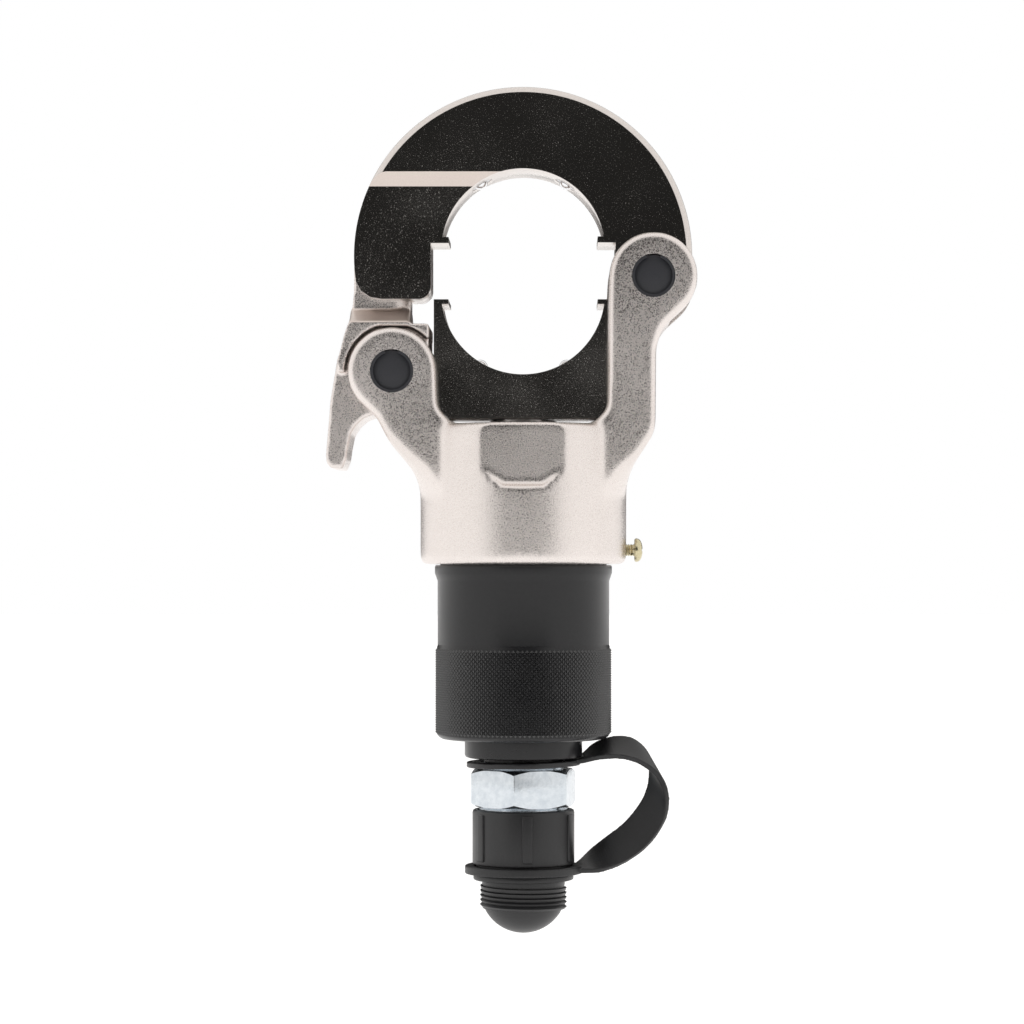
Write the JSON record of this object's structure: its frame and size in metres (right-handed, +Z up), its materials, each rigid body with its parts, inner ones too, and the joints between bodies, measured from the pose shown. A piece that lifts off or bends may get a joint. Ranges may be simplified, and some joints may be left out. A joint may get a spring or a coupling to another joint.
{
  "type": "remote hydraulic crimping head",
  "caption": "Remote hydraulic crimping head: flip-top C-jaw held by a spring latch, ram-driven lower jaw, knurled cylinder, hose coupler with a strapped dust cap.",
  "frame": {"origin": "centre of the free end face of the hydraulic coupler, on the cylinder axis", "axes": "+Z up the cylinder axis to the jaws, +X to the hinge side, -Y to the front"},
  "size_m": [0.1223, 0.0686, 0.2803],
  "materials": {
    "cast_nickel": "nickel plated over a fine blasted forging",
    "ground_nickel": "nickel plated over ground faces, near mirror",
    "black_steel": "black oxide, satin",
    "black_barrel": "black satin over turned steel",
    "bright_zinc": "bright zinc plate",
    "yellow_zinc": "yellow zinc plate",
    "black_plastic": "moulded, satin",
    "black_rubber": "moulded, matt",
    "bare_steel": "turned steel",
    "spring_steel": "oiled spring wire",
    "bearing_bronze": "turned bronze",
    "hard_chrome": "ground and hard chromed",
    "white_ptfe": "moulded"
  },
  "bodies": {
    "yoke": {"yoke_body": "cast_nickel", "hinge_pin": "black_steel", "latch_pin": "black_steel", "hinge_clip_front": "spring_steel", "hinge_clip_rear": "spring_steel", "latch_clip_front": "spring_steel", "latch_clip_rear": "spring_steel", "latch_spring": "spring_steel", "rod_bush": "bearing_bronze", "rod_wiper": "black_rubber", "cylinder_barrel": "black_barrel", "lock_screw": "yellow_zinc", "return_spring": "spring_steel", "coupler_body": "bright_zinc", "coupler_seal_washer": "black_rubber", "coupler_seat_ring": "bearing_bronze", "coupler_poppet_spring": "spring_steel", "strap_neck_eye": "black_rubber", "strap_band": "black_rubber"},
    "upper_jaw": {"upper_jaw": "ground_nickel", "detent_sleeve_ul": "bare_steel", "detent_sleeve_ur": "bare_steel", "detent_spring_ul": "spring_steel", "detent_spring_ur": "spring_steel"},
    "latch": {"latch_lever": "cast_nickel"},
    "ram": {"ram": "hard_chrome", "piston_seal": "black_rubber", "piston_backup_ring": "white_ptfe", "lower_jaw": "ground_nickel", "jaw_screw": "black_steel", "detent_sleeve_ll": "bare_steel", "detent_sleeve_lr": "bare_steel", "detent_spring_ll": "spring_steel", "detent_spring_lr": "spring_steel"},
    "ball_ul": {"detent_ball_ul": "hard_chrome"},
    "ball_ur": {"detent_ball_ur": "hard_chrome"},
    "ball_ll": {"detent_ball_ll": "hard_chrome"},
    "ball_lr": {"detent_ball_lr": "hard_chrome"},
    "poppet": {"coupler_poppet": "bare_steel"},
    "cap_eye": {"strap_cap_eye": "black_rubber"},
    "cap": {"dust_cap": "black_plastic", "dust_cap_seal": "black_rubber"}
  },
  "joints": [
    {"name": "jaw_hinge", "type": "hinge", "parent": "yoke", "child": "upper_jaw", "pos_m": [0.0428, 0, 0.1912], "axis": [0, 1, 0], "range_deg": [0, 100]},
    {"name": "latch_pivot", "type": "hinge", "parent": "yoke", "child": "latch", "pos_m": [-0.0428, 0, 0.16], "axis": [0, -1, 0], "range_deg": [0, 18], "stiffness_Nm_per_rad": 0.5, "springref_deg": -34.38},
    {"name": "ram_slide", "type": "slide", "parent": "yoke", "child": "ram", "axis": [0, 0, 1], "range_m": [0, 0.0138], "stiffness_N_per_m": 4000, "springref_m": -0.02, "deforming": ["return_spring"]},
    {"name": "ball_press_ul", "type": "slide", "parent": "upper_jaw", "child": "ball_ul", "axis": [-0.515, 0, 0.8572], "range_m": [0, 0.0015], "stiffness_N_per_m": 100, "springref_m": -0.001, "deforming": ["detent_spring_ul"]},
    {"name": "ball_press_ur", "type": "slide", "parent": "upper_jaw", "child": "ball_ur", "axis": [0.515, 0, 0.8572], "range_m": [0, 0.0015], "stiffness_N_per_m": 100, "springref_m": -0.001, "deforming": ["detent_spring_ur"]},
    {"name": "ball_press_ll", "type": "slide", "parent": "ram", "child": "ball_ll", "axis": [-0.515, 0, -0.8572], "range_m": [0, 0.0015], "stiffness_N_per_m": 100, "springref_m": -0.001, "deforming": ["detent_spring_ll"]},
    {"name": "ball_press_lr", "type": "slide", "parent": "ram", "child": "ball_lr", "axis": [0.515, 0, -0.8572], "range_m": [0, 0.0015], "stiffness_N_per_m": 100, "springref_m": -0.001, "deforming": ["detent_spring_lr"]},
    {"name": "poppet_slide", "type": "slide", "parent": "yoke", "child": "poppet", "axis": [0, 0, 1], "range_m": [0, 0.003], "stiffness_N_per_m": 200, "springref_m": -0.004, "deforming": ["coupler_poppet_spring"]},
    {"name": "cap_travel", "type": "slide", "parent": "yoke", "child": "cap_eye", "axis": [0, 0, -1], "range_m": [0, 0.015], "deforming": ["strap_band"]},
    {"name": "cap_turn", "type": "hinge", "parent": "cap_eye", "child": "cap", "pos_m": [0, 0, 0], "axis": [0, 0, -1], "range_deg": [0, 3600]}
  ],
  "couplings": [
    {"joint": "cap_travel", "follows": "cap_turn", "m_per_rad": 0.00023873}
  ]
}
